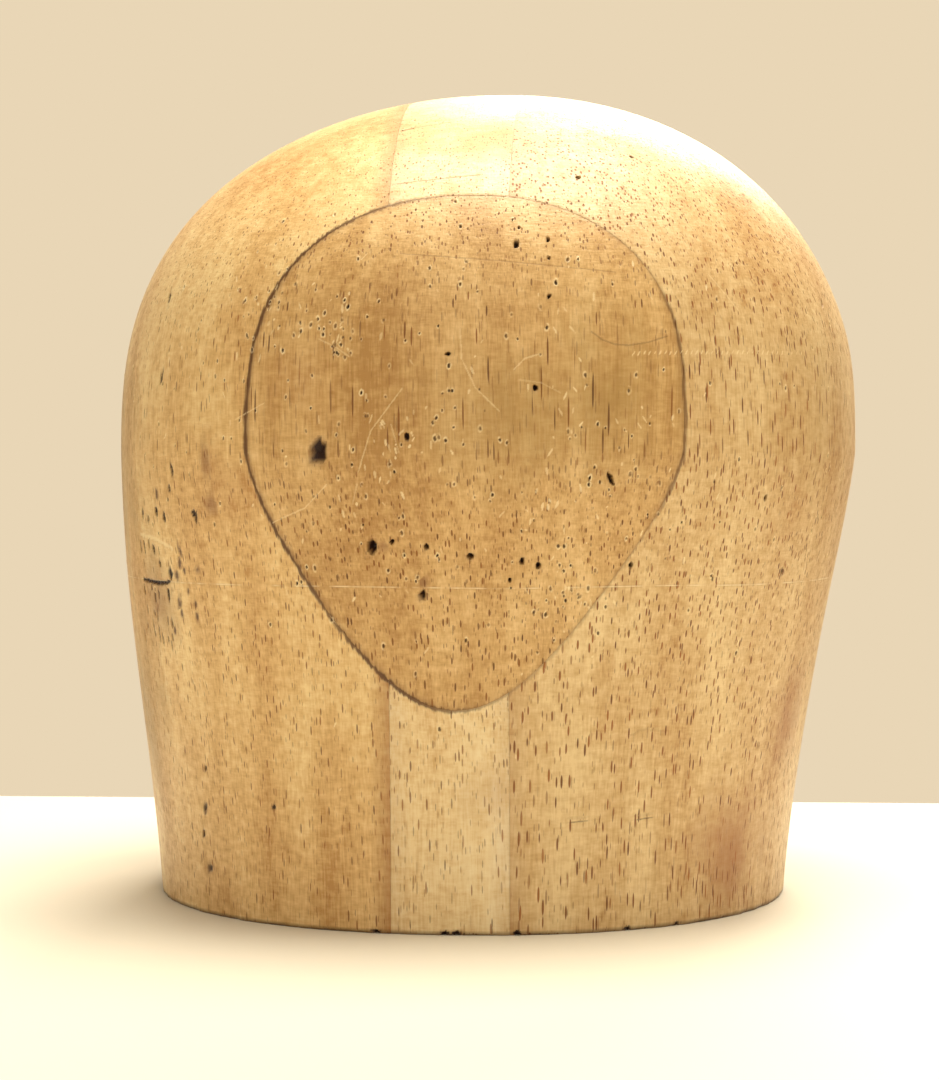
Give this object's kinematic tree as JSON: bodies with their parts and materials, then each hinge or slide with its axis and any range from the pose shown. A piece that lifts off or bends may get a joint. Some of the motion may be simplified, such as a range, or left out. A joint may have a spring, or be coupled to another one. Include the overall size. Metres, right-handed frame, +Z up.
{
  "type": "milliner's crown block",
  "caption": "Dome-topped wooden head form glued up from upright boards, narrowing to a flat base with a spindle socket underneath.",
  "frame": {"origin": "middle of the form's box, on the flat underside", "axes": "+Z up through the crown, -Y the front with the thin facing board, +X to the right of someone facing that front"},
  "size_m": [0.1734, 0.1948, 0.187],
  "materials": {
    "plank_wood_left": "bare open-pored hardwood, worn satin, golden brown",
    "strip_wood": "bare open-pored hardwood, worn satin, pale",
    "plank_wood_right": "bare open-pored hardwood, worn satin, pale golden",
    "facing_wood": "bare open-pored hardwood, worn satin, browner and pricked by pins",
    "plate_iron": "dull grey iron, lightly rusted",
    "screw_steel": "old bright steel, slightly tarnished"
  },
  "bodies": {
    "root": {"left_plank": "plank_wood_left", "centre_strip": "strip_wood", "right_plank": "plank_wood_right", "front_board": "facing_wood", "rear_board": "facing_wood", "socket_plate": "plate_iron", "plate_screw_1": "screw_steel", "plate_screw_2": "screw_steel", "plate_screw_3": "screw_steel", "plate_screw_4": "screw_steel"}
  },
  "joints": []
}
